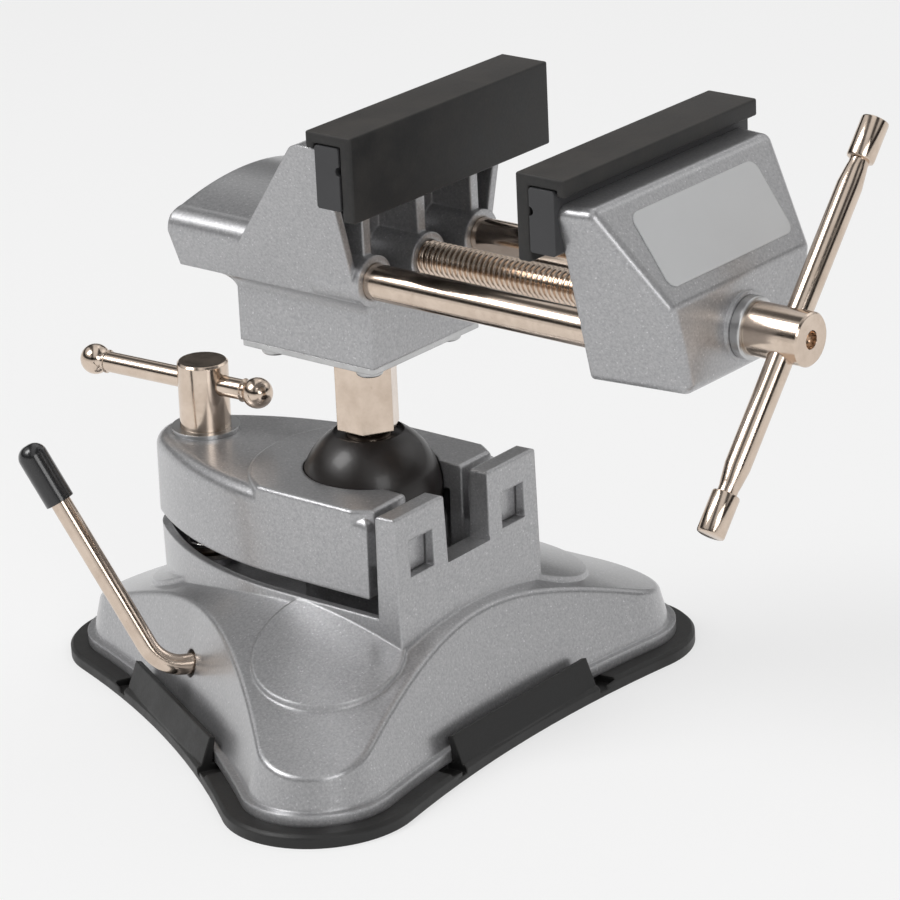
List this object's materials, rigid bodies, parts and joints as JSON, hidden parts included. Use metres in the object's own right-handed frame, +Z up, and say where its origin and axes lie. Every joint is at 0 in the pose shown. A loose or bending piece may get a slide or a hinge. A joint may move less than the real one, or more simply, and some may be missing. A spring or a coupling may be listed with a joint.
{
  "type": "bench vise",
  "caption": "Small bench vise on a ball joint over a three-lobed vacuum base, with rubber-covered jaws, twin guide rods and tommy bars.",
  "frame": {"origin": "on the bench, straight below the centre of the ball", "axes": "+Z up, +X from the clamp screw towards the two slotted posts and the front jaw, +Y completes a right-handed frame"},
  "size_m": [0.2099, 0.148, 0.1461],
  "materials": {
    "hammered_paint": "semi-gloss silver hammered paint",
    "nickel": "polished warm nickel plating",
    "zinc": "bright zinc plating",
    "spring_steel": "bright spring wire",
    "mat_rubber": "satin black rubber",
    "cover_rubber": "matt black rubber",
    "insert_plastic": "matt dark grey plastic",
    "black_cap": "glossy black vinyl",
    "black_ball": "glossy black",
    "seat_plastic": "natural plastic",
    "label_grey": "blank satin label"
  },
  "bodies": {
    "base": {"base_casting": "hammered_paint", "post_near": "hammered_paint", "post_far": "hammered_paint", "vacuum_mat": "mat_rubber", "clamp_spring": "spring_steel"},
    "vacuum_puller": {"suction_disc": "mat_rubber", "puller_yoke": "zinc"},
    "vacuum_lever": {"lever_rod": "nickel", "lever_cam": "zinc", "lever_cap": "black_cap"},
    "clamp_arm": {"clamp_arm": "hammered_paint", "clamp_washer": "zinc"},
    "clamp_screw": {"clamp_screw": "nickel"},
    "clamp_bar": {"clamp_bar": "nickel", "clamp_knobs": "nickel"},
    "ball_seat": {"ball_seat": "seat_plastic"},
    "ball": {"ball": "black_ball"},
    "vise_head": {"hex_post": "nickel", "mounting_plate": "zinc", "plate_screws": "zinc", "back_jaw": "hammered_paint", "back_insert": "insert_plastic"},
    "back_cover": {"back_cover": "cover_rubber"},
    "front_jaw": {"front_jaw": "hammered_paint", "front_insert": "insert_plastic", "label_plate": "label_grey", "guide_rod_near": "nickel", "guide_rod_far": "nickel"},
    "front_cover": {"front_cover": "cover_rubber"},
    "lead_screw": {"lead_screw": "nickel", "screw_clip": "spring_steel", "screw_collar": "zinc", "screw_hub": "nickel"},
    "handle": {"handle_bar": "nickel", "handle_caps": "nickel"}
  },
  "joints": [
    {"name": "clamp_arm_hinge", "type": "hinge", "parent": "base", "child": "clamp_arm", "pos_m": [0.0225, 0, 0.0468], "axis": [0, 1, 0], "range_deg": [0, 1.6], "deforming": ["clamp_spring"]},
    {"name": "clamp_screw_turn", "type": "hinge", "parent": "clamp_arm", "child": "clamp_screw", "pos_m": [-0.04802, 0, 0.05839], "axis": [0.0366, 0, 0.9993], "range_deg": [0, 540]},
    {"name": "clamp_bar_slide", "type": "slide", "parent": "clamp_screw", "child": "clamp_bar", "axis": [0.9977, 0.0576, -0.0366], "range_m": [-0.0046, 0.017]},
    {"name": "vacuum_lever_turn", "type": "hinge", "parent": "base", "child": "vacuum_lever", "pos_m": [-0.00916, 0.00125, 0.0155], "axis": [0.5, 0.866, 0], "range_deg": [0, 90]},
    {"name": "puller_lift", "type": "slide", "parent": "base", "child": "vacuum_puller", "axis": [0, 0, 1], "range_m": [0, 0.0022]},
    {"name": "base_swivel", "type": "hinge", "parent": "base", "child": "ball_seat", "pos_m": [0, 0, 0.052], "axis": [0, 0, 1], "continuous": true},
    {"name": "ball_tilt", "type": "hinge", "parent": "ball_seat", "child": "ball", "pos_m": [0, 0, 0.052], "axis": [0, 1, 0], "range_deg": [-25, 24]},
    {"name": "head_swivel", "type": "hinge", "parent": "ball", "child": "vise_head", "pos_m": [0, 0, 0.052], "axis": [0.0262, -0.007, 0.9996], "continuous": true},
    {"name": "back_cover_slide", "type": "slide", "parent": "vise_head", "child": "back_cover", "axis": [0.0262, 0.9996, 0.0063], "range_m": [-0.068, 0.068]},
    {"name": "jaw_slide", "type": "slide", "parent": "vise_head", "child": "front_jaw", "axis": [0.9993, -0.026, -0.0263], "range_m": [-0.0424, 0.0139]},
    {"name": "front_cover_slide", "type": "slide", "parent": "front_jaw", "child": "front_cover", "axis": [0.0262, 0.9996, 0.0063], "range_m": [-0.068, 0.068]},
    {"name": "lead_screw_turn", "type": "hinge", "parent": "front_jaw", "child": "lead_screw", "pos_m": [0.06146, -0.00196, 0.1079], "axis": [0.9993, -0.026, -0.0263], "range_deg": [-10840, 3570]},
    {"name": "handle_slide", "type": "slide", "parent": "lead_screw", "child": "handle", "axis": [0.0369, 0.6479, 0.7608], "range_m": [-0.031, 0.027]}
  ],
  "couplings": [
    {"joint": "clamp_arm_hinge", "follows": "clamp_screw_turn", "ratio": 0.002842},
    {"joint": "puller_lift", "follows": "vacuum_lever_turn", "m_per_rad": 0.0013505},
    {"joint": "lead_screw_turn", "follows": "jaw_slide", "rad_per_m": 4453}
  ]
}
